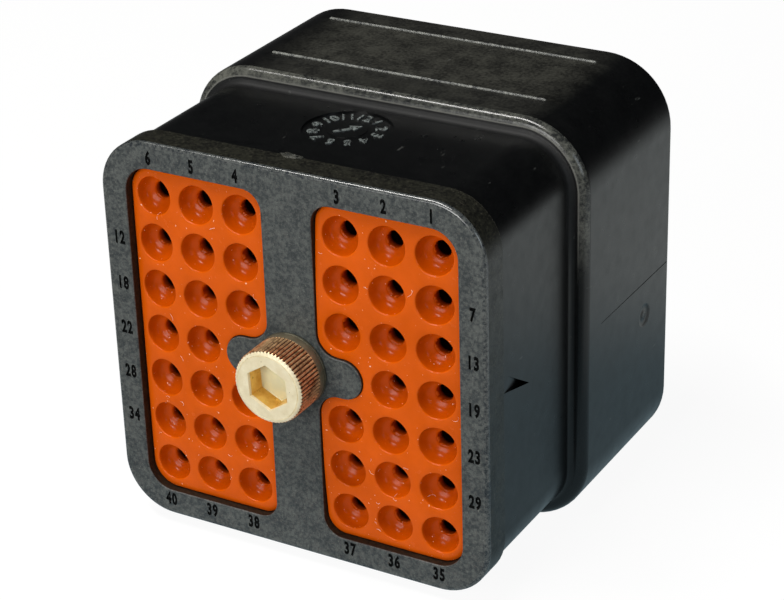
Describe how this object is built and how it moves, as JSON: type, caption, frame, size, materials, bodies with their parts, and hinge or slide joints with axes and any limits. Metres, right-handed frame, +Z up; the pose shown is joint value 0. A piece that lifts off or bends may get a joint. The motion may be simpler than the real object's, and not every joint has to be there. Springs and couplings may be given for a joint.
{
  "type": "rectangular sealed electrical connector plug",
  "caption": "Rectangular sealed wire-to-wire plug with a rounded black shell, an orange wire grommet full of cavities and a knurled hexagon-socket jackscrew in its middle.",
  "frame": {"origin": "under the middle of the part's box, on the surface that the skirt stands on", "axes": "+Z up, +Y from the wire face to the mating end, +X to the right as seen from the wire face"},
  "size_m": [0.0436, 0.042, 0.0429],
  "materials": {
    "shell_black": "black glass-filled moulding, satin with a soft gloss",
    "retainer_grey": "mottled charcoal moulding, matt",
    "grommet_orange": "orange silicone rubber, dusty satin",
    "insert_black": "black moulding, matt",
    "seal_orange": "orange silicone rubber, satin",
    "screw_brass": "yellow passivated, pale on the face and copper brown on the knurl",
    "clip_steel": "plain steel",
    "ring_black": "black rubber"
  },
  "bodies": {
    "housing": {"plug_shell": "shell_black", "grommet_retainer": "retainer_grey", "wire_grommet": "grommet_orange", "contact_retention_insert": "insert_black", "socket_insert": "insert_black", "perimeter_seal": "seal_orange", "clip_washer": "clip_steel"},
    "screw_carriage": {"head_washer": "clip_steel"},
    "screw": {"jackscrew": "screw_brass", "jackscrew_seal_ring": "ring_black", "retaining_clip": "clip_steel"}
  },
  "joints": [
    {"name": "screw_float", "type": "slide", "parent": "housing", "child": "screw_carriage", "axis": [0, -1, 0], "range_m": [0, 0.0009]},
    {"name": "screw_turn", "type": "hinge", "parent": "screw_carriage", "child": "screw", "pos_m": [0, -0.01587, 0.02135], "axis": [0, 1, 0], "continuous": true}
  ]
}
